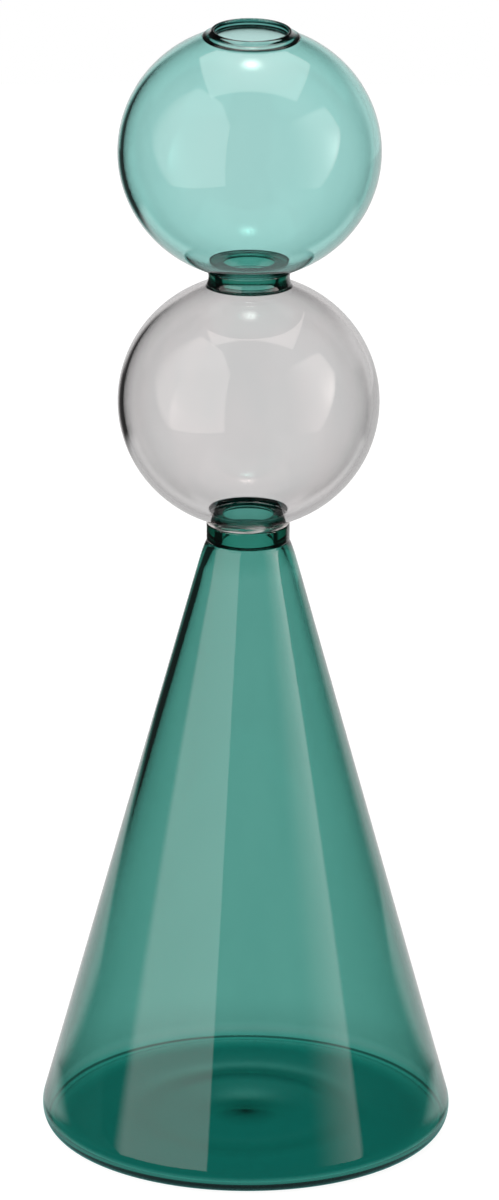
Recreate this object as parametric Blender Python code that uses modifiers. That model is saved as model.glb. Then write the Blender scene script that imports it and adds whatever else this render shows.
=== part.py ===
"""Cone vase of flame-worked glass: a tall dark teal cone that carries a clear globe and a light teal globe.

Run with: blender --background --python part.py

The vase is a column of turned glass pieces, each formed apart and fused to the next in the flame.
A stem dropped in at the mouth passes both globes and both necks and stands on the cone's floor.
Units are metres, +Z is up, and the origin is the centre of the ring that the vase stands on.
"""
import math

import bpy

MM = 0.001

# Turning
TURN_STEPS = 48
MERGE_DISTANCE = 0.01 * MM
SHARP_ANGLE = math.radians(40)

# Seams and the one bore that runs through both necks
SEAM_GAP = 0.3 * MM
BORE_RADIUS = 8.6 * MM
NECK_RADIUS = 13.95 * MM

# Foot, heel and floor of the cone
FOOT_RADIUS = 66.0 * MM
FOOT_RING_WIDTH = 13.0 * MM
HEEL_WIDTH = 3.8 * MM
HEEL_HEIGHT = 6.0 * MM
FLOOR_THICKNESS = 2.4 * MM
FLOOR_FILLET = 5.0 * MM
KICK_UP = 1.5 * MM
SEAL_HEIGHT = 1.3 * MM
SEAL_WIDTH = 11.0 * MM
RIPPLE_RADIUS = 35.0 * MM
RIPPLE_HEIGHT = 0.6 * MM
RIPPLE_WIDTH = 6.0 * MM

# Side and shoulder of the cone
CONE_HEIGHT = 208.0 * MM
CONE_WALL = 2.6 * MM
SHOULDER_DROP = 9.0 * MM
SHOULDER_WIDTH = 3.0 * MM
SHOULDER_FULLNESS = 1.2 * MM
THROAT_RADIUS = 11.0 * MM
THROAT_DROP = 10.0 * MM
THROAT_CORNER = 2.0 * MM

# Lower neck: a short thick tube with a spigot that enters the clear globe
NECK_HEIGHT = 5.9 * MM
SPIGOT_RADIUS = 13.0 * MM
SPIGOT_HEIGHT = 2.0 * MM
TUBE_EDGE = 0.5 * MM

# Weld bead round the lower spigot
BEAD_HEIGHT = 1.4 * MM
BEAD_BULGE = 0.25 * MM

# Clear globe
CLEAR_GLOBE_RADIUS = 43.6 * MM
CLEAR_GLOBE_HALF_HEIGHT = 42.4 * MM
CLEAR_GLOBE_WALL = 1.9 * MM

# Collar between the globes
COLLAR_HEIGHT = 4.9 * MM
COLLAR_WAIST = 0.45 * MM
COLLAR_SPIGOT_HEIGHT = 2.2 * MM

# Light teal globe, whose mouth leans a little to the front and the right of the column
TEAL_GLOBE_RADIUS = 43.5 * MM
TEAL_GLOBE_HALF_HEIGHT = 41.8 * MM
TEAL_GLOBE_WALL = 1.9 * MM
LEAN_FORWARD = math.radians(4.0)
LEAN_RIGHT = math.radians(0.6)

# Rolled lip round the mouth, fire-polished to a bead on a thin flange
MOUTH_RADIUS = 11.8 * MM
MOUTH_FLARE = 1.8 * MM
LIP_ROLL_RADIUS = 1.05 * MM
LIP_STAND = 1.6 * MM
LIP_FLANGE = 2.1 * MM

# Points along one curve of a profile
ARC_STEPS = 4
GLOBE_STEPS = 14
SIDE_STEPS = 3

# Heights of the seams above the foot, each worked out from the piece below
NECK_BOTTOM = CONE_HEIGHT + SEAM_GAP
NECK_SHELF = NECK_BOTTOM + NECK_HEIGHT
SPIGOT_TOP = NECK_SHELF + SPIGOT_HEIGHT
SPIGOT_HOLE_RADIUS = SPIGOT_RADIUS + SEAM_GAP
BEAD_BOTTOM = NECK_SHELF + SEAM_GAP
BEAD_TOP = BEAD_BOTTOM + BEAD_HEIGHT
CLEAR_GLOBE_BOTTOM = BEAD_TOP + SEAM_GAP

# Finish of each glass: linear colour, roughness, metallic
DARK_TEAL = ((0.045, 0.260, 0.220), 0.04, 0.0)
CLEAR = ((0.680, 0.660, 0.660), 0.04, 0.0)
LIGHT_TEAL = ((0.300, 0.640, 0.600), 0.04, 0.0)


def arc(centre, half_width, half_height, start, end, steps):
    """Returns the points of an elliptical arc in the (radius, height) plane, both ends included."""
    points = []
    for step in range(steps + 1):
        angle = math.radians(start + (end - start) * step / steps)
        points.append((centre[0] + half_width * math.cos(angle), centre[1] + half_height * math.sin(angle)))
    return points


def bend(start, corner, end, steps):
    """Returns the points of a curve from start to end that leans towards corner, both ends included."""
    points = []
    for step in range(steps + 1):
        t = step / steps
        weights = ((1 - t) ** 2, 2 * t * (1 - t), t ** 2)
        points.append(tuple(weights[0] * a + weights[1] * b + weights[2] * c
                            for a, b, c in zip(start, corner, end)))
    return points


def line(start, end, steps):
    """Returns evenly spaced points on a straight line, both ends included."""
    return [tuple(a + (b - a) * step / steps for a, b in zip(start, end)) for step in range(steps + 1)]


def bump(radius, centre, height, width):
    """Returns the height of a smooth round swelling at a radius."""
    return height * math.exp(-((radius - centre) / width) ** 2)


def ellipse_angle(radius, half_width):
    """Returns the angle, in degrees, at which a globe's wall reaches a radius above its middle."""
    return math.degrees(math.acos(radius / half_width))


def ellipse_radius(rise, half_width, half_height):
    """Returns a globe's radius at a height above or below its middle."""
    return half_width * math.sqrt(1 - (rise / half_height) ** 2)


def ellipse_rise(radius, half_width, half_height):
    """Returns how far above its middle a globe's wall reaches a radius."""
    return half_height * math.sqrt(1 - (radius / half_width) ** 2)


def foot_rise(radius):
    """Returns how far the foot's underside stands off the table at a radius."""
    share = min(radius / (FOOT_RADIUS - FOOT_RING_WIDTH), 1)
    return KICK_UP * (1 - share ** 2) ** 2


def side_tangent():
    """Returns the angle on the heel's ellipse where the straight side of the cone leaves it, in degrees."""
    shoulder_radius = NECK_RADIUS + SHOULDER_WIDTH
    across = (shoulder_radius - FOOT_RADIUS) / HEEL_WIDTH
    up = (CONE_HEIGHT - SHOULDER_DROP - HEEL_HEIGHT) / HEEL_HEIGHT
    return math.degrees(math.atan2(up, across) - math.acos(1 / math.hypot(across, up)))


def cone_profile():
    """Returns the section of the cone, from the middle of its floor round to the middle of its foot."""
    heel_centre = (FOOT_RADIUS, HEEL_HEIGHT)
    tangent = side_tangent()
    heel = arc(heel_centre, HEEL_WIDTH, HEEL_HEIGHT, tangent, -90, 2 * ARC_STEPS)
    side_foot = heel[0]
    side_head = (NECK_RADIUS + SHOULDER_WIDTH, CONE_HEIGHT - SHOULDER_DROP)
    lean = (side_foot[0] - side_head[0]) / (side_head[1] - side_foot[1])
    wall_across = CONE_WALL * math.hypot(1, lean)

    def inside(height):
        return side_foot[0] - wall_across - lean * (height - side_foot[1])

    def floor_height(radius):
        seal = bump(radius, 0, SEAL_HEIGHT, SEAL_WIDTH)
        ripple = bump(radius, RIPPLE_RADIUS, RIPPLE_HEIGHT, RIPPLE_WIDTH)
        return FLOOR_THICKNESS + foot_rise(radius) + seal + ripple

    floor_edge = inside(FLOOR_THICKNESS) - FLOOR_FILLET
    floor_radii = [SEAL_WIDTH * share for share in (0, 0.5, 1, 1.6)]
    floor_radii += [RIPPLE_RADIUS + RIPPLE_WIDTH * share for share in (-2, -1, 0, 1, 2)]
    floor = [(radius, floor_height(radius)) for radius in floor_radii]
    fillet_top = FLOOR_THICKNESS + FLOOR_FILLET
    floor_corner = bend((floor_edge, FLOOR_THICKNESS), (inside(FLOOR_THICKNESS), FLOOR_THICKNESS),
                        (inside(fillet_top), fillet_top), ARC_STEPS)
    throat_foot = CONE_HEIGHT - THROAT_DROP
    wall = line((inside(fillet_top), fillet_top), (inside(throat_foot), throat_foot), SIDE_STEPS)[1:-1]
    throat = bend((inside(throat_foot), throat_foot), (THROAT_RADIUS, CONE_HEIGHT - THROAT_CORNER),
                  (THROAT_RADIUS, CONE_HEIGHT), ARC_STEPS)
    shoulder_corner = (side_head[0] - lean * (SHOULDER_DROP - SHOULDER_FULLNESS),
                       CONE_HEIGHT - SHOULDER_FULLNESS)
    shoulder = bend((NECK_RADIUS, CONE_HEIGHT), shoulder_corner, side_head, ARC_STEPS)
    side = line(side_head, side_foot, SIDE_STEPS)[1:-1]

    ring_inside = FOOT_RADIUS - FOOT_RING_WIDTH
    kick_up = [(ring_inside * share, foot_rise(ring_inside * share)) for share in (1, 0.8, 0.6, 0.35, 0)]
    return floor + floor_corner + wall + throat + shoulder + side + heel + kick_up


def tube_profile(bottom, top, outer_points, bore):
    """Returns the closed section of a thick tube whose outer side is given from top to bottom."""
    return outer_points + [(bore, bottom), (bore, top)]


def neck_profile():
    """Returns the section of the lower neck, with its spigot on top."""
    spigot_edge = arc((SPIGOT_RADIUS - TUBE_EDGE, SPIGOT_TOP - TUBE_EDGE), TUBE_EDGE, TUBE_EDGE, 90, 0, 2)
    shelf_edge = arc((NECK_RADIUS - TUBE_EDGE, NECK_SHELF - TUBE_EDGE), TUBE_EDGE, TUBE_EDGE, 90, 0, 2)
    outside = spigot_edge + [(SPIGOT_RADIUS, NECK_SHELF)] + shelf_edge + [(NECK_RADIUS, NECK_BOTTOM)]
    return tube_profile(NECK_BOTTOM, SPIGOT_TOP, outside, BORE_RADIUS)


def bead_profile():
    """Returns the section of the weld bead, a bulging ring round the lower spigot."""
    middle = ((NECK_RADIUS + SPIGOT_HOLE_RADIUS) / 2, (BEAD_TOP + BEAD_BOTTOM) / 2)
    half_width = NECK_RADIUS + BEAD_BULGE - middle[0]
    outside = arc(middle, half_width, BEAD_HEIGHT / 2, 90, -90, 2 * ARC_STEPS)
    return tube_profile(BEAD_BOTTOM, BEAD_TOP, outside, SPIGOT_HOLE_RADIUS)


def globe_profile(middle, half_width, half_height, wall, lower_cut, upper_cut, lower_hole, upper_hole):
    """Returns the section of a globe's shell between two level cuts, with a round hole through each end."""
    inner_width = half_width - wall
    inner_height = half_height - wall
    upper_rim = ellipse_radius(upper_cut - middle, half_width, half_height)
    lower_rim = ellipse_radius(middle - lower_cut, half_width, half_height)
    outside = arc((0, middle), half_width, half_height, ellipse_angle(upper_rim, half_width),
                  -ellipse_angle(lower_rim, half_width), GLOBE_STEPS)
    inside = arc((0, middle), inner_width, inner_height, -ellipse_angle(lower_hole, inner_width),
                 ellipse_angle(upper_hole, inner_width), GLOBE_STEPS)
    return outside + [(lower_hole, lower_cut)] + inside + [(upper_hole, upper_cut)]


def teal_globe_profile(rim_rise):
    """Returns the light teal globe's section about its own middle, whole below and open at the mouth."""
    inner_width = TEAL_GLOBE_RADIUS - TEAL_GLOBE_WALL
    inner_height = TEAL_GLOBE_HALF_HEIGHT - TEAL_GLOBE_WALL
    rim_radius = ellipse_radius(rim_rise, TEAL_GLOBE_RADIUS, TEAL_GLOBE_HALF_HEIGHT)
    flare_angle = ellipse_angle(MOUTH_RADIUS + MOUTH_FLARE, inner_width)
    rim_angle = ellipse_angle(rim_radius, TEAL_GLOBE_RADIUS)
    inside = arc((0, 0), inner_width, inner_height, -90, flare_angle, GLOBE_STEPS)
    edge_corner = (MOUTH_RADIUS, (inside[-1][1] + rim_rise) / 2)
    edge = bend(inside[-1], edge_corner, (MOUTH_RADIUS, rim_rise), ARC_STEPS)[1:]
    outside = arc((0, 0), TEAL_GLOBE_RADIUS, TEAL_GLOBE_HALF_HEIGHT, rim_angle, -90, GLOBE_STEPS)
    return inside + edge + outside


def foot_cutter_profile(bottom):
    """Returns the section of the cutter that squares the light teal globe's foot and opens it."""
    below = bottom - TEAL_GLOBE_HALF_HEIGHT
    above = bottom + NECK_RADIUS
    return [(0, above), (SPIGOT_HOLE_RADIUS, above), (SPIGOT_HOLE_RADIUS, bottom),
            (2 * NECK_RADIUS, bottom), (2 * NECK_RADIUS, below), (0, below)]


def collar_profile(bottom):
    """Returns the section of the waisted collar between the globes, with its spigot on top."""
    shelf = bottom + COLLAR_HEIGHT
    top = shelf + COLLAR_SPIGOT_HEIGHT
    waist = (NECK_RADIUS - 2 * COLLAR_WAIST, bottom + COLLAR_HEIGHT / 2)
    spigot_edge = arc((SPIGOT_RADIUS - TUBE_EDGE, top - TUBE_EDGE), TUBE_EDGE, TUBE_EDGE, 90, 0, 2)
    side = bend((NECK_RADIUS, shelf), waist, (NECK_RADIUS, bottom), ARC_STEPS)
    outside = spigot_edge + [(SPIGOT_RADIUS, shelf)] + side
    return tube_profile(bottom, top, outside, BORE_RADIUS)


def lip_profile(bottom):
    """Returns the section of the mouth's rolled lip, with a thin flange that spreads over the globe."""
    outer = MOUTH_RADIUS + 2 * LIP_ROLL_RADIUS
    roll_middle = (MOUTH_RADIUS + LIP_ROLL_RADIUS, bottom + LIP_STAND)
    roll = arc(roll_middle, LIP_ROLL_RADIUS, LIP_ROLL_RADIUS, 180, 0, 2 * ARC_STEPS)
    flange = bend((outer, bottom + LIP_STAND), (outer, bottom), (outer + LIP_FLANGE, bottom), ARC_STEPS)[1:]
    return roll + flange + [(MOUTH_RADIUS, bottom)]


def glass(name, finish):
    """Makes the plain material of one piece."""
    colour, roughness, metallic = finish
    material = bpy.data.materials.new(name)
    material.use_nodes = True
    shader = material.node_tree.nodes["Principled BSDF"]
    shader.inputs["Base Color"].default_value = (*colour, 1)
    shader.inputs["Roughness"].default_value = roughness
    shader.inputs["Metallic"].default_value = metallic
    material.diffuse_color = (*colour, 1)
    return material


def turn(name, profile, finish, collection, parent, reaches_axis=False):
    """Turns a section about the Z axis, as a Screw modifier on a mesh of its outline."""
    count = len(profile)
    edges = [(index, index + 1) for index in range(count - 1)]
    if not reaches_axis:
        edges.append((count - 1, 0))
    mesh = bpy.data.meshes.new(name)
    mesh.from_pydata([(radius, 0, height) for radius, height in profile], edges, [])
    mesh.materials.append(glass(name, finish))
    piece = bpy.data.objects.new(name, mesh)
    collection.objects.link(piece)
    piece.parent = parent
    screw = piece.modifiers.new("Turn", "SCREW")
    screw.axis = "Z"
    screw.steps = TURN_STEPS
    screw.render_steps = TURN_STEPS
    screw.use_merge_vertices = True
    screw.merge_threshold = MERGE_DISTANCE
    screw.use_smooth_shade = True
    return piece


def shade(piece):
    """Turns the modifier into mesh and shades it smooth, with its real corners kept sharp."""
    evaluated = piece.evaluated_get(bpy.context.evaluated_depsgraph_get())
    mesh = bpy.data.meshes.new_from_object(evaluated)
    outline = piece.data
    piece.modifiers.clear()
    piece.data = mesh
    bpy.data.meshes.remove(outline)
    mesh.name = piece.name
    mesh.shade_smooth()
    mesh.set_sharp_from_angle(angle=SHARP_ANGLE)


def build_vase():
    """Builds the vase from the foot up and returns its pieces."""
    collection = bpy.data.collections.new("cone_vase")
    bpy.context.scene.collection.children.link(collection)
    cutters = bpy.data.collections.new("cutters")
    bpy.context.scene.collection.children.link(cutters)
    axis = bpy.data.objects.new("vase_axis", None)
    collection.objects.link(axis)

    clear_rise = ellipse_rise(NECK_RADIUS, CLEAR_GLOBE_RADIUS, CLEAR_GLOBE_HALF_HEIGHT)
    clear_middle = CLEAR_GLOBE_BOTTOM + clear_rise
    clear_top = clear_middle + clear_rise
    collar_bottom = clear_top + SEAM_GAP
    teal_bottom = collar_bottom + COLLAR_HEIGHT + SEAM_GAP
    teal_rise = ellipse_rise(NECK_RADIUS, TEAL_GLOBE_RADIUS, TEAL_GLOBE_HALF_HEIGHT)
    rim_radius = MOUTH_RADIUS + 2 * LIP_ROLL_RADIUS + LIP_FLANGE
    rim_rise = ellipse_rise(rim_radius, TEAL_GLOBE_RADIUS, TEAL_GLOBE_HALF_HEIGHT)
    middle = bpy.data.objects.new("teal_globe_middle", None)
    collection.objects.link(middle)
    middle.parent = axis
    middle.location.z = teal_bottom + teal_rise
    middle.rotation_euler = (LEAN_FORWARD, LEAN_RIGHT, 0)

    clear_section = globe_profile(clear_middle, CLEAR_GLOBE_RADIUS, CLEAR_GLOBE_HALF_HEIGHT,
                                  CLEAR_GLOBE_WALL,
                                  CLEAR_GLOBE_BOTTOM, clear_top, SPIGOT_HOLE_RADIUS, BORE_RADIUS)
    teal_globe = turn("teal_globe", teal_globe_profile(rim_rise), LIGHT_TEAL, collection, middle,
                      reaches_axis=True)
    cutter = turn("globe_foot_cutter", foot_cutter_profile(teal_bottom), LIGHT_TEAL, cutters, axis,
                  reaches_axis=True)
    cutter.hide_render = True
    cutter.display_type = "WIRE"
    cut = teal_globe.modifiers.new("Foot", "BOOLEAN")
    cut.operation = "DIFFERENCE"
    cut.solver = "EXACT"
    cut.object = cutter
    pieces = [
        turn("cone_body", cone_profile(), DARK_TEAL, collection, axis, reaches_axis=True),
        turn("cone_neck", neck_profile(), DARK_TEAL, collection, axis),
        turn("weld_bead", bead_profile(), CLEAR, collection, axis),
        turn("clear_globe", clear_section, CLEAR, collection, axis),
        turn("globe_collar", collar_profile(collar_bottom), DARK_TEAL, collection, axis),
        teal_globe,
        turn("mouth_lip", lip_profile(rim_rise + SEAM_GAP), LIGHT_TEAL, collection, middle),
    ]
    for piece in pieces:
        shade(piece)
    return pieces


def main():
    """Clears the scene and builds the vase."""
    for existing in list(bpy.data.objects):
        bpy.data.objects.remove(existing)
    pieces = build_vase()
    bpy.context.view_layer.update()
    for piece in pieces:
        places = [piece.matrix_world @ vertex.co for vertex in piece.data.vertices]
        heights = [place.z for place in places]
        widest = max(math.hypot(place.x, place.y) for place in places)
        print(f"{piece.name}: {min(heights) / MM:.2f} to {max(heights) / MM:.2f} mm high, "
              f"{2 * widest / MM:.2f} mm wide, {len(piece.data.polygons)} faces")


main()
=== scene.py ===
"""Looks of the cone vase: flame-worked glass on a pale table, under two softboxes and a top light.

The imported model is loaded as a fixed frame. Each glass piece is turned again from a fine section,
with its fire-polished corners and the slight unevenness of hand work, and takes the place of its
CAD node. Units are metres, +Z is up, and the camera looks along +Y.

The photograph's ground is pure white, while its glass shows a darker room. So the walls, the table
and the lamps have a level for each kind of ray, as the Light Path node tells them apart.
"""

import logging
import math
from abc import ABC, abstractmethod
from dataclasses import dataclass, field
from enum import Enum
from typing import ClassVar

import bpy
from bpy.types import ID, Material, NodeSocket, NodeTree, Object
from mathutils import Euler, Matrix, Vector


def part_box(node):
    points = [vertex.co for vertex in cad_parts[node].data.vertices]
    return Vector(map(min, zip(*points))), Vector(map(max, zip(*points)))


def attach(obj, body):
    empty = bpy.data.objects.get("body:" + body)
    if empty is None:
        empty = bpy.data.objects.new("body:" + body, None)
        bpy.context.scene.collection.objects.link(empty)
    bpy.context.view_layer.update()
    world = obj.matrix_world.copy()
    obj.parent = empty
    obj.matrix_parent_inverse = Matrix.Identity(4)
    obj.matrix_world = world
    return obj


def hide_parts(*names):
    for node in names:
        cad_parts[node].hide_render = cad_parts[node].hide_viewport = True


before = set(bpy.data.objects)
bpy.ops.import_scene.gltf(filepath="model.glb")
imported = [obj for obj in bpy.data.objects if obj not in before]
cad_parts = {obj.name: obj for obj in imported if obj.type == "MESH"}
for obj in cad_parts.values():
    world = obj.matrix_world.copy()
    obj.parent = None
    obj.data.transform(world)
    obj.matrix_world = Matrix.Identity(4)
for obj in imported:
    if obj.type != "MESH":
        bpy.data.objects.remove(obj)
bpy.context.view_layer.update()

MM = 0.001
LOG = logging.getLogger("cone_vase")

Point = tuple[float, float]
Ramp = tuple[float, float]
Place = tuple[float, float, float]
Colour = tuple[float, float, float]

WHITE: Colour = (1.0, 1.0, 1.0)


class Slot(Enum):
    """The record's material slots."""

    DARK_TEAL = "dark_teal_glass"
    CLEAR = "clear_glass"
    LIGHT_TEAL = "light_teal_glass"


class Wire:
    """A node's output, on which Python's operators add Math nodes."""

    def __init__(self, tree: "Tree", socket: NodeSocket) -> None:
        """Keeps the tree that new nodes go into and the output that this value comes from."""
        self.tree = tree
        self.socket = socket

    def by(self, operation: str, *others: "Wire | float") -> "Wire":
        """Gives the result of a Math operation on this and other values."""
        return self.tree.math(operation, self, *others)

    def __add__(self, other: "Wire | float") -> "Wire":
        """Adds a value."""
        return self.by("ADD", other)

    __radd__ = __add__

    def __sub__(self, other: "Wire | float") -> "Wire":
        """Takes a value away."""
        return self.by("SUBTRACT", other)

    def __rsub__(self, other: "Wire | float") -> "Wire":
        """Takes this away from a value."""
        return self.tree.math("SUBTRACT", other, self)

    def __mul__(self, other: "Wire | float") -> "Wire":
        """Multiplies by a value."""
        return self.by("MULTIPLY", other)

    __rmul__ = __mul__

    def __truediv__(self, other: "Wire | float") -> "Wire":
        """Divides by a value."""
        return self.by("DIVIDE", other)

    def smooth(self, low: "Wire | float", high: "Wire | float") -> "Wire":
        """Rises smoothly from 0 at the low value to 1 at the high one."""
        limits = {"Value": self, "From Min": low, "From Max": high}
        return self.tree.add("ShaderNodeMapRange", limits, interpolation_type="SMOOTHSTEP")

    def other(self, output: str) -> "Wire":
        """Gives another output of the same node, by name."""
        return Wire(self.tree, self.socket.node.outputs[output])


class Tree:
    """Adds nodes to one shader or geometry tree."""

    def __init__(self, nodes: NodeTree) -> None:
        """Keeps the tree."""
        self.nodes = nodes

    @staticmethod
    def of(owner: ID) -> "Tree":
        """Starts an empty shader tree.

        Args:
            owner: The material, world or lamp that it belongs to.

        Returns:
            The tree.
        """
        owner.use_nodes = True
        owner.node_tree.nodes.clear()
        return Tree(owner.node_tree)

    def add(self, kind: str, inputs: dict[str | int, object] | None = None,
            output: str | int = 0, **settings: object) -> Wire:
        """Adds one node of any type.

        Args:
            kind: The node's type.
            inputs: Values or wires, by socket name or place.
            output: The socket that is returned, by name or place.
            settings: Its properties, set before its sockets.

        Returns:
            The chosen output.
        """
        node = self.nodes.nodes.new(kind)
        for name, value in settings.items():
            setattr(node, name, value)
        for name, value in (inputs or {}).items():
            socket = node.inputs[name]
            if isinstance(value, Wire):
                self.nodes.links.new(value.socket, socket)
            else:
                socket.default_value = value
        chosen = node.outputs[output] if len(node.outputs) else None
        return Wire(self, chosen)

    def math(self, operation: str, *values: Wire | float) -> Wire:
        """Adds one Math node, with its inputs in order."""
        return self.add("ShaderNodeMath", dict(enumerate(values)), operation=operation)

    def noise(self, place: Wire, seed: Wire | float, scale: Wire | float, detail: float) -> Wire:
        """Adds a noise, about 0.5 on average, with a seed as its fourth coordinate."""
        return self.add("ShaderNodeTexNoise", {"Vector": place, "W": seed, "Scale": scale,
                                               "Detail": detail}, noise_dimensions="4D")

    def tint(self, share: Wire, first: Colour, second: Colour) -> Wire:
        """Mixes two colours, by the share of the second."""
        return self.add("ShaderNodeMix", {0: share, 6: (*first, 1.0), 7: (*second, 1.0)}, 2,
                        data_type="RGBA")

    def blend(self, share: Wire, first: Wire, second: Wire) -> Wire:
        """Mixes two shaders, by the share of the second."""
        return self.add("ShaderNodeMixShader", {0: share, 1: first, 2: second})


def put(name: str, data: ID) -> Object:
    """Makes an object and links it to the scene."""
    made = bpy.data.objects.new(name, data)
    bpy.context.scene.collection.objects.link(made)
    return made


@dataclass
class Section:
    """Half of a turned piece's section, in the (radius, height) plane, from point to point."""

    points: list[Point] = field(default_factory=list)

    def to(self, *points: Point) -> "Section":
        """Adds points."""
        self.points.extend(points)
        return self

    def line(self, end: Point, steps: int) -> "Section":
        """Draws a straight line from the last point.

        Args:
            end: Where it ends.
            steps: How many points it gets.

        Returns:
            The section.
        """
        start = self.points[-1]
        for step in range(1, steps + 1):
            share = step / steps
            self.points.append((start[0] + (end[0] - start[0]) * share,
                                start[1] + (end[1] - start[1]) * share))
        return self

    def bend(self, corner: Point, end: Point, steps: int) -> "Section":
        """Draws a curve from the last point that leans towards a corner.

        Args:
            corner: The corner that it leans towards.
            end: Where it ends.
            steps: How many points it gets.

        Returns:
            The section.
        """
        start = self.points[-1]
        for step in range(1, steps + 1):
            t = step / steps
            self.points.append(tuple((1 - t) ** 2 * a + 2 * t * (1 - t) * b + t ** 2 * c
                                     for a, b, c in zip(start, corner, end)))
        return self

    def arc(self, centre: Point, size: "Ellipse", start: float, end: float,
            steps: int) -> "Section":
        """Draws an elliptical arc, with both its ends.

        Args:
            centre: The middle of the ellipse.
            size: The ellipse.
            start: The first angle, in degrees from the radius axis.
            end: The last angle.
            steps: How many steps it takes.

        Returns:
            The section.
        """
        for step in range(steps + 1):
            angle = math.radians(start + (end - start) * step / steps)
            self.points.append((centre[0] + size.half_width * math.cos(angle),
                                centre[1] + size.half_height * math.sin(angle)))
        return self

    def closed(self) -> "Section":
        """Ends the section where it starts."""
        return self.to(self.points[0])


@dataclass(frozen=True)
class Ellipse:
    """An upright ellipse, such as the section of a globe's wall."""

    half_width: float
    half_height: float

    def angle(self, radius: float) -> float:
        """Gives the angle at which the wall reaches a radius above its middle, in degrees."""
        return math.degrees(math.acos(radius / self.half_width))

    def rise(self, radius: float) -> float:
        """Gives how far above its middle the wall reaches a radius."""
        return self.half_height * math.sqrt(1 - (radius / self.half_width) ** 2)

    def inset(self, wall: float) -> "Ellipse":
        """Gives the inner side of a wall."""
        return Ellipse(self.half_width - wall, self.half_height - wall)


@dataclass(frozen=True)
class Lean:
    """A lean of a piece's rings about a point, from none at one height to all at another."""

    middle: float = 0.0
    forward: float = 0.0
    right: float = 0.0
    starts: float = 0.0
    ends: float = 1.0


@dataclass(frozen=True)
class HandWork:
    """The slight unevenness of glass that was turned by hand."""

    waviness: float = 0.04 * MM
    wave_scale: float = 2.0
    seed: int = 1


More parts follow.
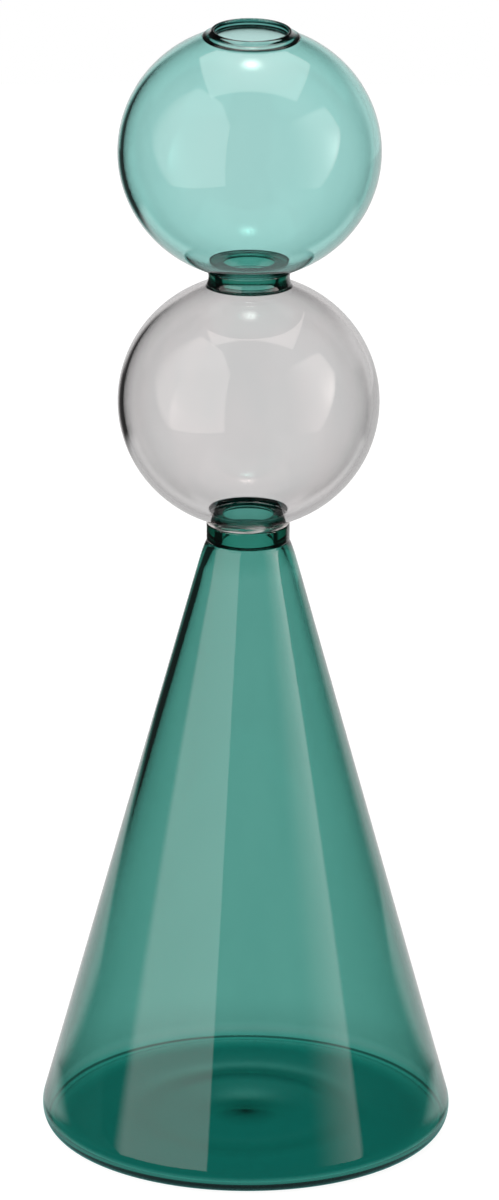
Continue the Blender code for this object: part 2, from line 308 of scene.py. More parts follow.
class Lathe:
    """Turns sections into closed glass pieces with one Geometry Nodes tree."""

    MERGE = 1e-6
    WAVE_HEIGHT = 40 * MM
    WAVE_EASE = 5 * MM
    WAVE_DETAIL = 1.0
    SOCKETS: ClassVar[dict[str, str]] = {
        "Profile": "Geometry", "Segments": "Int", "Waviness": "Float", "Wave Scale": "Float",
        "Seed": "Int", "Lean": "Vector", "Lean Middle": "Vector", "Lean Starts": "Float",
        "Lean Ends": "Float", "Material": "Material"}

    def __init__(self) -> None:
        """Builds the tree."""
        self.group = bpy.data.node_groups.new("glass_lathe", "GeometryNodeTree")
        interface = self.group.interface
        self.identifiers = {
            name: interface.new_socket(name, in_out="INPUT",
                                       socket_type="NodeSocket" + kind).identifier
            for name, kind in self.SOCKETS.items()}
        interface.new_socket("Geometry", in_out="OUTPUT", socket_type="NodeSocketGeometry")
        tree = Tree(self.group)
        given = tree.add("NodeGroupInput")
        inputs = {name: given.other(name) for name in self.SOCKETS}
        rows = tree.add("GeometryNodeAttributeDomainSize", {"Geometry": inputs["Profile"]},
                        "Point Count", component="MESH")
        mesh = tree.add("GeometryNodeMeshGrid",
                        {"Vertices X": inputs["Segments"] + 1, "Vertices Y": rows})
        steps = {"GeometryNodeSetPosition": {"Position": self._place(tree, inputs, rows)},
                 "GeometryNodeMergeByDistance": {"Distance": self.MERGE},
                 "GeometryNodeSetShadeSmooth": {}, "GeometryNodeRealizeInstances": {},
                 "GeometryNodeSetMaterial": {"Material": inputs["Material"]}, "NodeGroupOutput": {}}
        for kind, extra in steps.items():
            mesh = tree.add(kind, {"Geometry": mesh, **extra})

    def _place(self, tree: Tree, inputs: dict[str, Wire], rows: Wire) -> Wire:
        """Works out where each point of the grid goes.

        Args:
            tree: The lathe's tree.
            inputs: Its named inputs.
            rows: How many points the section has, which make one column of the grid.

        Returns:
            The turned, wavy and leaning position.
        """
        index = tree.add("GeometryNodeInputIndex")
        column = ((index + 0.5) / rows).by("FLOOR")
        row = index - column * rows
        drawn = tree.add("GeometryNodeSampleIndex",
                         {"Geometry": inputs["Profile"],
                          "Value": tree.add("GeometryNodeInputPosition"), "Index": row},
                         data_type="FLOAT_VECTOR", domain="POINT")
        radius = tree.add("ShaderNodeSeparateXYZ", {"Vector": drawn})
        height = radius.other("Z")
        angle = column / inputs["Segments"] * math.tau
        sine, cosine = angle.by("SINE"), angle.by("COSINE")
        around = tree.add("ShaderNodeCombineXYZ",
                          {"X": sine, "Y": cosine, "Z": height * (1 / self.WAVE_HEIGHT)})
        noise = tree.noise(around, inputs["Seed"], inputs["Wave Scale"], self.WAVE_DETAIL)
        eased = radius / (radius + self.WAVE_EASE)
        wavy = radius + (noise - 0.5) * inputs["Waviness"] * eased
        turned = tree.add("ShaderNodeCombineXYZ",
                          {"X": wavy * sine, "Y": wavy * cosine * -1.0, "Z": height})
        share = height.smooth(inputs["Lean Starts"], inputs["Lean Ends"])
        angles = tree.add("ShaderNodeVectorMath", {"Vector": inputs["Lean"], "Scale": share},
                          operation="SCALE")
        return tree.add("ShaderNodeVectorRotate",
                        {"Vector": turned, "Center": inputs["Lean Middle"], "Rotation": angles},
                        rotation_type="EULER_XYZ")

    def turn(self, name: str, section: Section, material: Material, segments: int,
             hand: HandWork, lean: Lean) -> Object:
        """Turns a section into a plain mesh.

        Args:
            name: The piece's name.
            section: Its section, anticlockwise in the (radius, height) plane.
            material: Its finish.
            segments: How many steps make one turn.
            hand: Its unevenness.
            lean: Its lean.

        Returns:
            The finished object, with its place in its mesh.
        """
        outline = bpy.data.meshes.new(name + "_section")
        outline.from_pydata([(radius, 0, height) for radius, height in section.points], [], [])
        holder = put(name + "_section", outline)
        modifier = holder.modifiers.new("Lathe", "NODES")
        modifier.node_group = self.group
        values = {"Segments": segments, "Waviness": hand.waviness, "Wave Scale": hand.wave_scale,
                  "Seed": hand.seed, "Lean": (lean.forward, lean.right, 0.0),
                  "Lean Middle": (0.0, 0.0, lean.middle), "Lean Starts": lean.starts,
                  "Lean Ends": lean.ends, "Material": material}
        for socket, value in values.items():
            modifier[self.identifiers[socket]] = value
        evaluated = holder.evaluated_get(bpy.context.evaluated_depsgraph_get())
        mesh = bpy.data.meshes.new_from_object(evaluated)
        mesh.name = name
        bpy.data.objects.remove(holder)
        bpy.data.meshes.remove(outline)
        return put(name, mesh)


@dataclass(frozen=True)
class Glass:
    """A see-through glass, coloured by what each metre absorbs of red, green and blue."""

    # Cords are the faint drawn streaks of hand-worked glass, over finer waves.
    CORD_SCALE = 60.0
    CORD_DRAW = (1.0, 1.0, 0.35)
    CORD_RAMP = (0.35, 0.65)
    CORD_RELIEF = 0.8
    FINE_SCALE = 220.0
    FINE_SEED = 7.0
    FINE_RELIEF = 0.2
    DETAIL = 2.0
    RELIEF = 0.2 * MM
    DULL_RAMP = (0.55, 0.8)
    DULLEST = 0.012
    # Painted glints: whitish streaks, packed in level rings, in place of highlights.
    GLINT_SCALE = 130.0
    GLINT_DRAW = (1.0, 1.0, 5.0)
    GLINT_SEED = 3.0
    GLINT_DETAIL = 1.0
    GLINT_RAMP = (0.45, 0.62)
    GLINT_COLOUR = (0.9, 0.9, 0.9)
    GLINT_ROUGHNESS = 0.3
    # The share of the density that the most absorbed colour takes.
    DEEPEST = 0.98
    VIEWPORT_ALPHA = 0.5

    name: str
    slot: Slot
    absorbed: Colour
    seed: float
    ior: float
    glints: float = 0.0
    streak: float = 0.03
    ripple: float = 0.02

    def material(self) -> Material:
        """Builds the material.

        Returns:
            A Principled glass with plain volume absorption, faint cords and a fire-polished
            surface, and with whitish streaks of painted glints where it has them.
        """
        material = bpy.data.materials.new(self.name)
        tree = Tree.of(material)
        place = tree.add("ShaderNodeTexCoord", output="Object")
        drawn = tree.add("ShaderNodeMapping", {"Vector": place, "Scale": self.CORD_DRAW})
        cords = tree.noise(drawn, self.seed, self.CORD_SCALE, self.DETAIL)
        fine = tree.noise(place, self.seed + self.FINE_SEED, self.FINE_SCALE, self.DETAIL)
        streaked = (1 - self.streak, 1 - self.streak / 2, 1 - self.streak / 2)
        waves = cords * self.CORD_RELIEF + fine * self.FINE_RELIEF
        normal = tree.add("ShaderNodeBump",
                          {"Height": waves, "Strength": self.ripple, "Distance": self.RELIEF})
        shader = tree.add("ShaderNodeBsdfPrincipled",
                          {"Base Color": tree.tint(cords.smooth(*self.CORD_RAMP), WHITE, streaked),
                           "Roughness": fine.smooth(*self.DULL_RAMP) * self.DULLEST,
                           "IOR": self.ior, "Transmission Weight": 1.0, "Normal": normal})
        # Painted glints: whitish streaks that stand in for highlights on the bead.
        if self.glints:
            drawn = tree.add("ShaderNodeMapping", {"Vector": place, "Scale": self.GLINT_DRAW})
            streaks = tree.noise(drawn, self.seed + self.GLINT_SEED, self.GLINT_SCALE,
                                 self.GLINT_DETAIL)
            glint_layer = tree.add("ShaderNodeBsdfPrincipled",
                             {"Base Color": (*self.GLINT_COLOUR, 1.0),
                              "Roughness": self.GLINT_ROUGHNESS})
            shader = tree.blend(streaks.smooth(*self.GLINT_RAMP) * self.glints, shader, glint_layer)
        density = max(self.absorbed) / self.DEEPEST
        colour = tuple(1 - share / density for share in self.absorbed)
        depth = tree.add("ShaderNodeVolumeAbsorption",
                         {"Color": (*colour, 1.0), "Density": density})
        tree.add("ShaderNodeOutputMaterial", {"Surface": shader, "Volume": depth})
        material.diffuse_color = (*colour, self.VIEWPORT_ALPHA)
        return material


DARK_TEAL = Glass("dark_teal_glass", Slot.DARK_TEAL, (365.0, 141.0, 171.0), 1.0, 1.52)
CLEAR = Glass("clear_glass", Slot.CLEAR, (34.0, 42.0, 42.0), 2.0, 1.46)
# The weld bead's glass carries painted glints in place of highlights.
WELD = Glass("weld_glass", Slot.CLEAR, (34.0, 42.0, 42.0), 4.0, 1.46, glints=0.6)
LIGHT_TEAL = Glass("light_teal_glass", Slot.LIGHT_TEAL, (170.0, 23.0, 37.0), 3.0, 1.46)
LIP = Glass("lip_glass", Slot.LIGHT_TEAL, (430.0, 190.0, 210.0), 5.0, 1.5)
GLASSES = (DARK_TEAL, CLEAR, WELD, LIGHT_TEAL, LIP)


def dress(piece: Object, node: str) -> Object:
    """Puts a piece in the place of its CAD node.

    Args:
        piece: The finished piece.
        node: The node that it stands for.

    Returns:
        The piece.
    """
    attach(piece, "root")
    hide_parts(node)
    return piece


@dataclass
class Column:
    """Sizes that the stacked pieces share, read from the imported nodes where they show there."""

    bore: float = 8.6 * MM
    spigot: float = 13.0 * MM
    neck_spigot_height: float = 2.0 * MM
    collar_spigot_height: float = 2.2 * MM
    edge: float = 0.5 * MM
    lap: float = 0.03 * MM
    draw_in: float = 0.1 * MM
    cone_top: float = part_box("cone_body")[1].z
    neck_bottom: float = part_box("cone_neck")[0].z
    neck_top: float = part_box("cone_neck")[1].z
    neck_radius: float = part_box("cone_neck")[1].x
    clear_bottom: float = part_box("clear_globe")[0].z
    clear_top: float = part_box("clear_globe")[1].z
    collar_bottom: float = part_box("globe_collar")[0].z
    collar_top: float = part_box("globe_collar")[1].z
    teal_bottom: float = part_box("teal_globe")[0].z

    @property
    def neck_shelf(self) -> float:
        """Gives the level of the step below the neck's spigot."""
        return self.neck_top - self.neck_spigot_height

    @property
    def collar_shelf(self) -> float:
        """Gives the level of the step below the collar's spigot."""
        return self.collar_top - self.collar_spigot_height

    @staticmethod
    def seam(below: float, above: float) -> float:
        """Gives the middle of the gap that stands for a fused seam in the CAD model."""
        return (below + above) / 2

    @property
    def cone_seam(self) -> float:
        """Gives the level of the seam between the cone and its neck."""
        return self.seam(self.cone_top, self.neck_bottom)

    @property
    def collar_seam(self) -> float:
        """Gives the level of the seam between the clear globe and the collar."""
        return self.seam(self.clear_top, self.collar_bottom)


@dataclass
class TurnedPiece(ABC):
    """A glass piece that is turned from its section and takes the place of a CAD node."""

    NAME: ClassVar[str]
    NODE: ClassVar[str]
    GLASS: ClassVar[Glass]
    HAND: ClassVar[HandWork]
    SEGMENTS: ClassVar[int] = 256

    column: Column

    @abstractmethod
    def section(self) -> Section:
        """Draws the piece's section, anticlockwise in the (radius, height) plane."""

    def lean(self) -> Lean:
        """Gives the piece's lean, which is none for most."""
        return Lean()

    def build(self, lathe: Lathe, material: Material) -> Object:
        """Turns the piece in its glass, and puts it in the place of its node."""
        piece = lathe.turn(self.NAME, self.section(), material, self.SEGMENTS, self.HAND,
                           self.lean())
        return dress(piece, self.NODE)


@dataclass
class ConeBody(TurnedPiece):
    """The tall dark teal cone, with its heel, foot ring and floor."""

    NAME = "cone_glass"
    NODE = "cone_body"
    GLASS = DARK_TEAL
    HAND = HandWork(seed=11)
    SEGMENTS = 320

    foot_radius: float = 66.0 * MM
    ring_width: float = 13.0 * MM
    heel: Ellipse = Ellipse(3.8 * MM, 6.0 * MM)
    floor: float = 2.4 * MM
    floor_fillet: float = 5.0 * MM
    kick_up: float = 1.5 * MM
    seal_height: float = 1.3 * MM
    seal_width: float = 11.0 * MM
    ripple_radius: float = 35.0 * MM
    ripple_height: float = 0.42 * MM
    ripple_width: float = 6.0 * MM
    wall: float = 2.6 * MM
    shoulder_drop: float = 9.0 * MM
    shoulder_width: float = 3.0 * MM
    shoulder_fullness: float = 1.2 * MM
    throat: float = 11.0 * MM
    throat_drop: float = 10.0 * MM
    throat_corner: float = 2.0 * MM
    foot_steps: int = 24
    floor_steps: int = 56

    def section(self) -> Section:
        """Draws the cone's section, from the middle of its foot out and up, and back down inside.

        Returns:
            The section, with both ends on the axis.
        """
        column = self.column
        edge = column.edge
        top = column.cone_seam + column.lap
        head = (column.neck_radius + self.shoulder_width, column.cone_top - self.shoulder_drop)
        across = (head[0] - self.foot_radius) / self.heel.half_width
        up = (head[1] - self.heel.half_height) / self.heel.half_height
        tangent = math.atan2(up, across) - math.acos(1 / math.hypot(across, up))
        foot = (self.foot_radius + self.heel.half_width * math.cos(tangent),
                self.heel.half_height * (1 + math.sin(tangent)))
        slope = (foot[0] - head[0]) / (head[1] - foot[1])
        wall_across = self.wall * math.hypot(1, slope)

        def inside(height: float) -> Point:
            """Gives the inner side of the wall at a height."""
            return foot[0] - wall_across - slope * (height - foot[1]), height

        ring = self.foot_radius - self.ring_width
        shares = [step / self.foot_steps for step in range(self.foot_steps + 1)]
        section = Section([(ring * share, self.rise(ring * share)) for share in shares])
        section.line((self.foot_radius, 0), steps=3)
        section.arc((self.foot_radius, self.heel.half_height), self.heel,
                    start=-88, end=math.degrees(tangent), steps=24)
        section.line(head, steps=60)
        corner = head[0] - slope * (self.shoulder_drop - self.shoulder_fullness)
        section.bend((corner, column.cone_top - self.shoulder_fullness),
                     (column.neck_radius, top - edge), steps=24)
        section.bend((column.neck_radius, top), (column.neck_radius - edge, top), steps=5)
        section.line((self.throat + edge, top), steps=2)
        section.bend((self.throat, top), (self.throat, top - edge), steps=5)
        section.bend((self.throat, column.cone_top - self.throat_corner),
                     inside(column.cone_top - self.throat_drop), steps=24)
        section.line(inside(self.floor + self.floor_fillet), steps=44)
        wall_foot = inside(self.floor)[0]
        reach = wall_foot - self.floor_fillet
        section.bend((wall_foot, self.floor), (reach, self.floor), steps=12)
        for step in range(self.floor_steps - 1, -1, -1):
            radius = reach * step / self.floor_steps
            section.to((radius, self.floor_height(radius)))
        return section

    def rise(self, radius: float) -> float:
        """Gives the kick-up of the foot's underside at a radius."""
        share = min(radius / (self.foot_radius - self.ring_width), 1)
        return self.kick_up * (1 - share ** 2) ** 2

    def floor_height(self, radius: float) -> float:
        """Gives the height of the floor's upper side, with its sealed middle and one faint ring.

        Args:
            radius: The distance from the axis.

        Returns:
            The height above the table.
        """
        seal = self.seal_height * math.exp(-(radius / self.seal_width) ** 2)
        out = (radius - self.ripple_radius) / self.ripple_width
        return self.floor + self.rise(radius) + seal + self.ripple_height * math.exp(-out ** 2)


def tube_section(column: Column, bottom: float, shelf: float, top: float,
                 waist: float = 0.0) -> Section:
    """Draws a thick tube as wide as the necks, with a narrower spigot on top.

    Args:
        column: The sizes that the pieces share.
        bottom: The tube's lower end.
        shelf: The step below the spigot.
        top: The spigot's upper end.
        waist: How far the side draws in at mid-height.

    Returns:
        The closed section.
    """
    bore, edge, radius, spigot = column.bore, column.edge, column.neck_radius, column.spigot
    section = Section().to((bore + edge, bottom)).line((radius - edge, bottom), steps=3)
    section.bend((radius, bottom), (radius, bottom + edge), steps=6)
    section.bend((radius - 2 * waist, (bottom + shelf) / 2), (radius, shelf - edge), steps=16)
    section.bend((radius, shelf), (radius - edge, shelf), steps=6)
    section.line((spigot, shelf), steps=2).line((spigot, top - edge), steps=4)
    section.bend((spigot, top), (spigot - edge, top), steps=8)
    section.line((bore + edge, top), steps=4)
    section.bend((bore, top), (bore, top - edge), steps=8)
    section.line((bore, bottom + edge), steps=12)
    section.bend((bore, bottom), (bore + edge, bottom), steps=6)
    return section


@dataclass
class ConeNeck(TurnedPiece):
    """The short thick tube on the cone, with the spigot that enters the clear globe."""

    NAME = "cone_neck_glass"
    NODE = "cone_neck"
    GLASS = DARK_TEAL
    HAND = HandWork(0.12 * MM, 2.0, 12)

    def section(self) -> Section:
        """Draws the tube's closed section."""
        column = self.column
        return tube_section(column, column.cone_seam - column.lap, column.neck_shelf,
                            column.neck_top)


@dataclass
class WeldBead(TurnedPiece):
    """The ring of clear glass where the clear globe is fused on, bright with highlights and painted
    glints.
    """

    NAME = "weld_bead_glass"
    NODE = "weld_bead"
    GLASS = WELD
    HAND = HandWork(0.5 * MM, 4.0, 13)

    bulge: float = 0.25 * MM

    def section(self) -> Section:
        """Draws the bead's section, which laps over the spigot, the shelf and the globe's foot.

        Returns:
            The closed section.
        """
        column = self.column
        bottom = column.neck_shelf - column.lap
        top = column.clear_bottom + column.lap
        inner = column.spigot - column.lap
        middle = ((column.neck_radius + inner) / 2, (top + bottom) / 2)
        size = Ellipse(column.neck_radius + self.bulge - middle[0], (top - bottom) / 2)
        section = Section().to((inner, bottom), (middle[0], bottom))
        section.arc(middle, size, start=-86, end=86, steps=24)
        section.to((middle[0], top), (inner, top))
        return section.closed()


@dataclass
class BlownGlobe(TurnedPiece):
    """What the two globes share: a blown shell of even wall, open below round a spigot."""

    SEGMENTS = 384

    radius: float
    half_height: float
    wall: float = 1.9 * MM
    foot_round: float = 1.2 * MM

    @property
    def outer(self) -> Ellipse:
        """Gives the outer side of the wall."""
        return Ellipse(self.radius, self.half_height)

    @property
    def inner(self) -> Ellipse:
        """Gives the inner side of the wall."""
        return self.outer.inset(self.wall)

    def _inside(self, section: Section, middle: float, start: float, bottom: float) -> Section:
        """Draws the inner side of the wall down to the globe's foot.

        Args:
            section: The section so far.
            middle: The height of the globe's middle.
            start: The radius at which it begins, above.
            bottom: The level of the foot.

        Returns:
            The closed section.
        """
        hole = self.column.spigot - self.column.lap
        section.arc((0, middle), self.inner, self.inner.angle(start),
                    -self.inner.angle(hole + self.foot_round), steps=112)
        section.bend((hole + self.column.draw_in, middle - self.inner.rise(hole)),
                     (hole, bottom), steps=6)
        return section.closed()


@dataclass
class ClearGlobe(BlownGlobe):
    """The clear blown globe, open below and above."""

    NAME = "clear_globe_glass"
    NODE = "clear_globe"
    GLASS = CLEAR
    HAND = HandWork(seed=14)

    radius: float = 43.6 * MM
    half_height: float = 42.4 * MM

    def section(self) -> Section:
        """Draws the shell's section.

        Returns:
            The closed section.
        """
        column = self.column
        middle = (column.clear_bottom + column.clear_top) / 2
        top = column.collar_seam + column.lap
        rim = self.outer.angle(column.neck_radius)
        section = Section().arc((0, middle), self.outer, start=-rim, end=rim, steps=118)
        section.to((column.neck_radius - column.draw_in, top))
        section.line((column.bore + column.edge, top), steps=3)
        section.bend((column.bore, top), (column.bore, top - column.edge), steps=4)
        return self._inside(section, middle, column.bore, column.clear_bottom - column.lap)


@dataclass
class GlobeCollar(TurnedPiece):
    """The waisted collar between the globes, with the spigot that enters the upper one."""

    NAME = "collar_glass"
    NODE = "globe_collar"
    GLASS = DARK_TEAL
    HAND = HandWork(0.12 * MM, 2.0, 15)

    waist: float = 0.45 * MM

    def section(self) -> Section:
        """Draws the collar's closed section."""
        column = self.column
        return tube_section(column, column.collar_seam - column.lap, column.collar_shelf,
                            column.collar_top, self.waist)


@dataclass
class TealGlobe(BlownGlobe):
    """The light teal blown globe, whose mouth leans a little to the front."""

    NAME = "teal_globe_glass"
    NODE = "teal_globe"
    GLASS = LIGHT_TEAL
    HAND = HandWork(seed=16)

    radius: float = 43.5 * MM
    half_height: float = 41.8 * MM
    mouth_radius: float = 11.8 * MM
    flare: float = 1.8 * MM
    lip_reach: float = 16.0 * MM
    forward: float = math.radians(4.0)
    right: float = math.radians(0.6)
    lean_starts: float = 2.0 * MM
    lean_ends: float = 30.0 * MM

    @property
    def middle(self) -> float:
        """Gives the height of the globe's middle."""
        return self.column.teal_bottom + self.outer.rise(self.column.neck_radius)

    @property
    def rim(self) -> float:
        """Gives the level of the mouth, where the lip sits."""
        return self.middle + self.outer.rise(self.lip_reach)

    def lean(self) -> Lean:
        """Gives the lean, none at the foot and all of it at the mouth."""
        return Lean(self.middle, self.forward, self.right,
                    self.column.teal_bottom + self.lean_starts, self.middle + self.lean_ends)

    def section(self) -> Section:
        """Draws the shell's section.

        Returns:
            The closed section.
        """
        column = self.column
        middle = self.middle
        bottom = column.seam(column.collar_shelf, column.teal_bottom) - column.lap
        section = Section().to((column.neck_radius - column.draw_in, bottom))
        section.arc((0, middle), self.outer, -self.outer.angle(column.neck_radius),
                    self.outer.angle(self.lip_reach), steps=118)
        section.line((self.mouth_radius, self.rim), steps=5)
        edge = self.mouth_radius + self.flare
        flare_foot = (edge, middle + self.inner.rise(edge))
        section.bend((self.mouth_radius, (flare_foot[1] + self.rim) / 2), flare_foot, steps=8)
        return self._inside(section, middle, edge, bottom)


@dataclass
class MouthLip(TurnedPiece):
    """The rolled, fire-polished lip round the mouth."""

    NAME = "mouth_lip_glass"
    NODE = "mouth_lip"
    GLASS = LIP
    HAND = HandWork(0.1 * MM, 1.5, 17)

    globe: TealGlobe
    roll: float = 1.05 * MM
    stand: float = 1.9 * MM
    edge: float = 0.45 * MM
    crest: float = 0.6 * MM
    crest_out: float = 0.9 * MM
    slope_foot: Point = (2.2 * MM, 1.2 * MM)

    def lean(self) -> Lean:
        """Gives the globe's lean, with all of it at every height of the lip."""
        globe = self.globe
        return Lean(globe.middle, globe.forward, globe.right, globe.middle - 1, globe.middle)

    def section(self) -> Section:
        """Draws the roll and the thin flange that spreads over the globe.

        Returns:
            The closed section.
        """
        mouth = self.globe.mouth_radius
        rim = self.globe.rim
        bottom = rim - self.column.lap
        flange = self.globe.lip_reach - self.edge
        level = rim + self.stand + self.roll - self.crest
        section = Section().to((mouth, bottom), (flange, bottom))
        section.arc((flange, rim + self.edge), Ellipse(self.edge, self.edge),
                    start=-88, end=50, steps=12)
        section.bend((mouth + self.slope_foot[0], rim + self.slope_foot[1]),
                     (mouth + self.crest_out + self.crest, level), steps=16)
        section.arc((mouth + self.crest_out, level), Ellipse(self.crest, self.crest),
                    start=15, end=165, steps=30)
        section.line((mouth, bottom), steps=6)
        return section


@dataclass(frozen=True)
class Path:
    """What a ray has met on its way, as wires of one shader tree."""

    camera: Wire
    straight: Wire
    mirrored: Wire
    inner: Wire
    deep: Wire

    @staticmethod
    def read(tree: Tree) -> "Path":
        """Reads the Light Path node.

        Args:
            tree: The shader tree.

        Returns:
            Marks for rays from the camera, rays straight through glass, mirrored rays, those of
            them that went through glass as well, and those that were mirrored more than once.
        """
        camera = tree.add("ShaderNodeLightPath", output="Is Camera Ray")
        glossy, diffuse = camera.other("Glossy Depth"), camera.other("Diffuse Depth")
        bounced = (glossy + diffuse).by("MINIMUM", 1.0)
        straight = camera.other("Is Transmission Ray") * (1 - bounced)
        mirrored = glossy.by("MINIMUM", 1.0) * (1 - diffuse.by("MINIMUM", 1.0))
        inner = mirrored * camera.other("Transmission Depth").by("MINIMUM", 1.0)
        return Path(camera, straight, mirrored, inner, mirrored * glossy.smooth(1.0, 2.0))


@dataclass(frozen=True)
class Room:
    """The walls, and how bright the room is to each kind of ray."""

    pale: float = 0.80
    ceiling: float = 0.04
    ceiling_ramp: Ramp = (0.1, 0.42)
    # The level at the sides and the front to mirrored rays, and where the part behind ends.
    shade: float = 0.04
    back_left: float = math.radians(20)
    back_right: float = math.radians(47)
    left_ramp: Ramp = (-0.08, 0.08)
    right_ramp: Ramp = (-0.15, 0.15)
    # What rays that were mirrored more than once lose.
    deep_loss: float = 0.85

    def behind(self, right: Wire, back: Wire) -> Wire:
        """Marks what lies behind the vase, where the room is pale, and not to its sides or front.

        Args:
            right: How far to the right a direction goes.
            back: How far to the back.

        Returns:
            The mask.
        """
        from_left = back * math.sin(self.back_left) + right * math.cos(self.back_left)
        from_right = back * math.sin(self.back_right) - right * math.cos(self.back_right)
        return from_left.smooth(*self.left_ramp) * from_right.smooth(*self.right_ramp)

    def dimmed(self, level: Wire, path: Path) -> Wire:
        """Weakens a level for rays that were mirrored more than once."""
        return level * (1 - path.deep * self.deep_loss)

    def build(self) -> None:
        """Makes the walls, white to the camera and pale to glass."""
        world = bpy.data.worlds.new("studio")
        bpy.context.scene.world = world
        tree = Tree.of(world)
        path = Path.read(tree)
        right = tree.add("ShaderNodeSeparateXYZ",
                         {"Vector": tree.add("ShaderNodeTexCoord", output="Generated")})
        back, up = right.other("Y"), right.other("Z")
        walls = self.pale + up.smooth(*self.ceiling_ramp) * (self.ceiling - self.pale)
        dark = 1 - self.behind(right, back)
        level = self.dimmed(walls + path.mirrored * dark * (self.shade - walls), path)
        room = tree.add("ShaderNodeBackground", {"Color": (*WHITE, 1.0), "Strength": level})
        white = tree.add("ShaderNodeBackground", {"Color": (*WHITE, 1.0), "Strength": 1.0})
        tree.add("ShaderNodeOutputWorld", {"Surface": tree.blend(path.camera, room, white)})


@dataclass(frozen=True)
class Patch:
    """A lit wedge of the table: the direction from the foot that it lies in, and its sides."""

    right: float
    back: float
    sides: Ramp

    def mark(self, right: Wire, back: Wire) -> Wire:
        """Marks the directions in the wedge."""
        return (right * self.right + back * self.back).smooth(*self.sides)


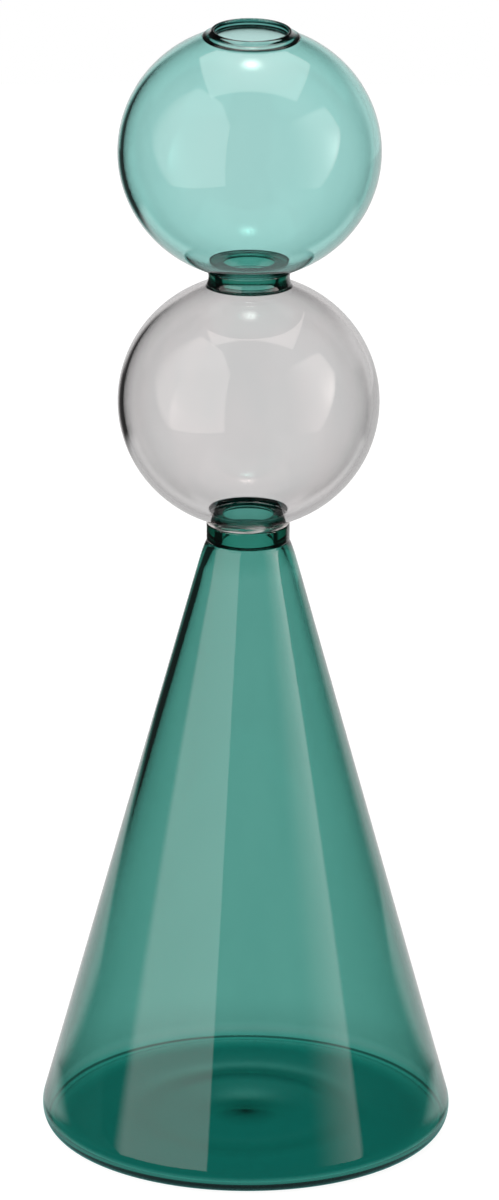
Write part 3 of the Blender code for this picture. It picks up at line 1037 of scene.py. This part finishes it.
@dataclass(frozen=True)
class Table:
    """The round white table under the vase. Each ramp gives where one level turns into the next."""

    room: Room
    drop: float = 0.2 * MM
    reach: float = 1.5
    corners: int = 96
    matt: float = 0.65
    # To the camera, with a matt share that holds the shadow.
    seen_near: float = 0.93
    seen_ramp: Ramp = (0.3, 0.9)
    seen_matt: float = 0.18
    # To rays through glass and mirrored rays: painted shade under the foot and just outside it, and
    # painted teal light round the foot.
    under: float = 0.33
    near: float = 0.62
    under_ramp: Ramp = (0.056, 0.072)
    near_ramp: Ramp = (0.07, 0.12)
    light_pool_colour: Colour = (0.06, 1.0, 0.93)
    light_pool_ramp: Ramp = (0.058, 0.085)
    # A painted shadow ring where the heel meets the table, which is darker at the back.
    contact_shadow_starts: Ramp = (0.068, 0.0695)
    contact_shadow_ends: Ramp = (0.0705, 0.072)
    contact_shadow_front: float = 0.35
    contact_shadow_back: float = 0.35
    contact_shadow_ramp: Ramp = (-0.4, 0.4)
    # What stays lit to mirrored rays: a ring, a part close behind the foot, and a strip there.
    ring_ramp: Ramp = (0.072, 0.086)
    close_starts: Ramp = (0.0, 0.02)
    close_ends: Ramp = (0.11, 0.17)
    strip_sides: Ramp = (0.42, 0.6)
    strip_ends: Ramp = (0.5, 0.65)
    inner_loss: float = 0.3
    # Two wedges at the front sides, which only inner mirrored rays see.
    patches: tuple[Patch, Patch] = (Patch(-0.883, -0.469, (0.72, 0.86)),
                                    Patch(0.731, -0.682, (0.86, 0.94)))
    patch_starts: Ramp = (0.12, 0.25)
    patch_ends: Ramp = (0.7, 1.2)
    patch_level: float = 0.4

    def build(self) -> None:
        """Lays the table."""
        mesh = bpy.data.meshes.new("table")
        turns = [math.tau * corner / self.corners for corner in range(self.corners)]
        mesh.from_pydata([(self.reach * math.cos(turn), self.reach * math.sin(turn), -self.drop)
                          for turn in turns], [], [list(range(self.corners))])
        mesh.materials.append(self._material())
        table = put("table", mesh)

    def _material(self) -> Material:
        """Builds the table's finish.

        Returns:
            Nearly white with a shadow to the camera, matt to diffuse rays, and a level of its own
            to rays through glass and mirrored rays.
        """
        material = bpy.data.materials.new("table_white")
        tree = Tree.of(material)
        path = Path.read(tree)
        place = tree.add("ShaderNodeTexCoord", output="Object")
        distance = tree.add("ShaderNodeVectorMath", {0: place}, "Value", operation="LENGTH")
        across = tree.add("ShaderNodeSeparateXYZ", {"Vector": place})
        right, back = across / distance, across.other("Y") / distance
        level = self._level(distance, back)
        mirrored = self._mirrored(path, level, distance, right, back)
        # Painted light: teal under and round the foot, as if thrown through the glass, white
        # further out.
        light_pool = tree.tint(distance.smooth(*self.light_pool_ramp), self.light_pool_colour, WHITE)
        sweep = tree.add("ShaderNodeEmission",
                         {"Color": light_pool, "Strength": level + path.mirrored * (mirrored - level)})
        matt = tree.add("ShaderNodeBsdfDiffuse", {"Color": (*[self.matt] * 3, 1.0)})
        unseen = tree.blend(path.straight + path.mirrored, matt, sweep)
        bright = self.seen_near + distance.smooth(*self.seen_ramp) * (1 - self.seen_near)
        glow = tree.add("ShaderNodeEmission", {"Strength": bright})
        thin = tree.add("ShaderNodeBsdfDiffuse", {"Color": (*[self.seen_matt] * 3, 1.0)})
        seen = tree.add("ShaderNodeAddShader", {0: glow, 1: thin})
        tree.add("ShaderNodeOutputMaterial", {"Surface": tree.blend(path.camera, unseen, seen)})
        return material

    def _level(self, distance: Wire, back: Wire) -> Wire:
        """Gives the table's level through glass, with painted shade under the foot and the heel.

        Args:
            distance: How far a point lies from the middle of the foot.
            back: How far to the back its direction goes.

        Returns:
            The level.
        """
        # Painted shade: dark under the foot, rising to the room's level a little way out.
        level = (self.under + distance.smooth(*self.under_ramp) * (self.near - self.under)
                 + distance.smooth(*self.near_ramp) * (self.room.pale - self.near))
        # Painted shadow: a dark ring where the heel meets the table, darker at the back.
        contact_shadow = (distance.smooth(*self.contact_shadow_starts)
                   * (1 - distance.smooth(*self.contact_shadow_ends)))
        dark = self.contact_shadow_front + back.smooth(*self.contact_shadow_ramp) * self.contact_shadow_back
        return level * (1 - contact_shadow * dark)

    def _mirrored(self, path: Path, level: Wire, distance: Wire, right: Wire, back: Wire) -> Wire:
        """Gives the table's level to mirrored rays.

        Args:
            path: What the ray has met.
            level: The level through glass.
            distance: How far a point lies from the middle of the foot.
            right: How far to the right its direction goes.
            back: How far to the back it goes.

        Returns:
            The level, which is dark at the sides and the front but for the parts that stay lit.
        """
        ring = 1 - distance.smooth(*self.ring_ramp)
        close = ((back * distance).smooth(*self.close_starts)
                 * (1 - distance.smooth(*self.close_ends)))
        strip = back.smooth(*self.strip_sides) * (1 - distance.smooth(*self.strip_ends))
        lit = self.room.behind(right, back).by("MAXIMUM", ring.by("MAXIMUM", close))
        lit = lit.by("MAXIMUM", strip)
        shade = self.room.shade
        mirrored = (shade + lit * (level - shade)) * (1 - path.inner * self.inner_loss)
        first, second = (patch.mark(right, back) for patch in self.patches)
        wedges = ((first + second) * distance.smooth(*self.patch_starts)
                  * (1 - distance.smooth(*self.patch_ends)))
        return self.room.dimmed(mirrored + wedges * path.inner * self.patch_level, path)


@dataclass(frozen=True)
class Edge:
    """One straight edge of a softbox: the way it faces in degrees, its reach and its softness."""

    angle: float
    reach: float
    softness: float = 0.04


@dataclass(frozen=True)
class Softbox:
    """A flat soft lamp with soft edges, and a wide glow and a narrow core in one place."""

    name: str
    place: Place
    aim: Place
    width: float
    height: float
    radiance: float
    edges: tuple[Edge, ...]
    glow: float = 0.0
    glow_width: float = 0.6
    core: float = 0.0
    core_width: float = 0.15
    core_offset: Point = (0.0, 0.0)
    # The level straight through glass, and what inner mirrored rays lose.
    through: float = 0.8
    inner_loss: float = 0.85
    core_loss: float = 0.52
    tint: Colour = (1.0, 0.90, 0.87)

    def build(self, room: Room) -> None:
        """Hangs the lamp, full in outer reflections and even straight through glass.

        Args:
            room: The room that it hangs in.
        """
        data = bpy.data.lights.new(self.name, "AREA")
        data.shape = "RECTANGLE"
        data.size = self.width
        data.size_y = self.height
        data.energy = math.pi * self.width * self.height
        tree = Tree.of(data)
        path = Path.read(tree)
        level = room.dimmed(self._strength(tree, path), path)
        glow = tree.add("ShaderNodeEmission",
                        {"Color": tree.tint(path.straight, self.tint, WHITE),
                         "Strength": level + path.straight * (self.through - level)})
        tree.add("ShaderNodeOutputLight", {"Surface": glow})
        lamp = put(self.name, data)
        lamp.location = self.place
        facing = Vector(self.aim) - Vector(self.place)
        lamp.rotation_euler = facing.to_track_quat("-Z", "Y").to_euler()
        lamp.visible_camera = False

    def _strength(self, tree: Tree, path: Path) -> Wire:
        """Gives how bright each point of the lamp is.

        Args:
            tree: The lamp's tree.
            path: What the ray has met.

        Returns:
            The radiance.
        """
        share = tree.add("ShaderNodeSeparateXYZ",
                         {"Vector": tree.add("ShaderNodeNewGeometry", output="Parametric")})
        across = (share - 0.5) * self.width
        along = (share.other("Y") - 0.5) * self.height
        off_x, off_y = across - self.core_offset[0], along - self.core_offset[1]
        squared = off_x * off_x + off_y * off_y
        core = (squared * (-1 / self.core_width ** 2)).by("EXPONENT") * self.core
        glow = (squared * (-1 / self.glow_width ** 2)).by("EXPONENT") * self.glow
        level = (core * (1 - path.inner * self.core_loss)
                 + (glow + self.radiance) * (1 - path.inner * self.inner_loss))
        for edge in self.edges:
            facing = math.radians(edge.angle)
            outwards = across * math.cos(facing) + along * math.sin(facing)
            level = level * (1 - outwards.smooth(edge.reach - edge.softness, edge.reach))
        return level


LEFT_SOFTBOX = Softbox(
    "left_softbox", place=(-0.787, -0.436, 0.94), aim=(0.0, 0.0, 0.94), width=1.60, height=1.84,
    radiance=1.9, edges=(Edge(0, 0.79), Edge(180, 0.85, 0.50), Edge(224, 0.82, 0.12),
                         Edge(168, 0.73, 0.1), Edge(40, 0.86, 0.1), Edge(90, 0.92, 0.1)))
RIGHT_SOFTBOX = Softbox(
    "right_softbox", place=(0.820, -0.376, 0.57), aim=(0.041, 0.074, 0.57), width=1.00,
    height=1.10, radiance=2.3, edges=(Edge(0, 0.49, 0.06), Edge(180, 0.50, 0.70),
                                      Edge(-38.5, 0.342, 0.05), Edge(90, 0.55, 0.1)),
    core=3.2, core_width=0.22, core_offset=(0.32, -0.16))
CEILING_LIGHT = Softbox(
    "ceiling_light", place=(0.10, 0.285, 1.60), aim=(0.10, 0.285, 0.0), width=1.70, height=1.41,
    radiance=2.1, edges=(Edge(0, 0.85, 0.05), Edge(180, 0.85, 0.05), Edge(90, 0.705, 0.05),
                         Edge(270, 0.705, 0.05)),
    glow=1.8, core=13.0, core_width=0.11, core_offset=(-0.08, -0.025), through=0.08)


@dataclass(frozen=True)
class View:
    """The camera, in the place that was fitted to the outline in the photograph."""

    lens: float = 199.47
    sensor: float = 36.0
    place: Place = (0.567 * MM, -2122.4 * MM, 880.75 * MM)
    degrees_down: float = 18.11
    roll: float = 0.0041

    def build(self) -> None:
        """Sets the camera up."""
        data = bpy.data.cameras.new("camera")
        data.lens = self.lens
        data.sensor_width = self.sensor
        camera = put("camera", data)
        camera.location = self.place
        tilt = Euler((math.radians(90 - self.degrees_down), 0.0, 0.0)).to_matrix()
        camera.rotation_euler = (tilt @ Matrix.Rotation(self.roll, 3, "Z")).to_euler()
        bpy.context.scene.camera = camera


@dataclass(frozen=True)
class Studio:
    """The pale room, with its table, lamps and camera."""

    room: Room = Room()
    view: View = View()
    softboxes: tuple[Softbox, ...] = (LEFT_SOFTBOX, RIGHT_SOFTBOX, CEILING_LIGHT)
    glass_bounces: int = 32
    mirror_bounces: int = 16

    def build(self) -> None:
        """Makes the room, table, lamps and camera, and allows enough bounces for the glass."""
        self.room.build()
        Table(self.room).build()
        for softbox in self.softboxes:
            softbox.build(self.room)
        self.view.build()
        scene = bpy.context.scene
        scene.view_settings.view_transform = "Standard"
        scene.cycles.max_bounces = self.glass_bounces
        scene.cycles.transmission_bounces = self.glass_bounces
        scene.cycles.glossy_bounces = self.mirror_bounces


def main() -> None:
    """Builds the studio and the vase, from the foot up."""
    logging.basicConfig(level=logging.INFO, format="%(message)s")
    Studio().build()
    lathe = Lathe()
    materials = {glass.name: glass.material() for glass in GLASSES}
    column = Column()
    globe = TealGlobe(column)
    makers: tuple[TurnedPiece, ...] = (
        ConeBody(column), ConeNeck(column), WeldBead(column), ClearGlobe(column),
        GlobeCollar(column), globe, MouthLip(column, globe))
    for maker in makers:
        piece = maker.build(lathe, materials[maker.GLASS.name])
        LOG.info("%s: %d faces", piece.name, len(piece.data.polygons))


if __name__ == "__main__":
    main()
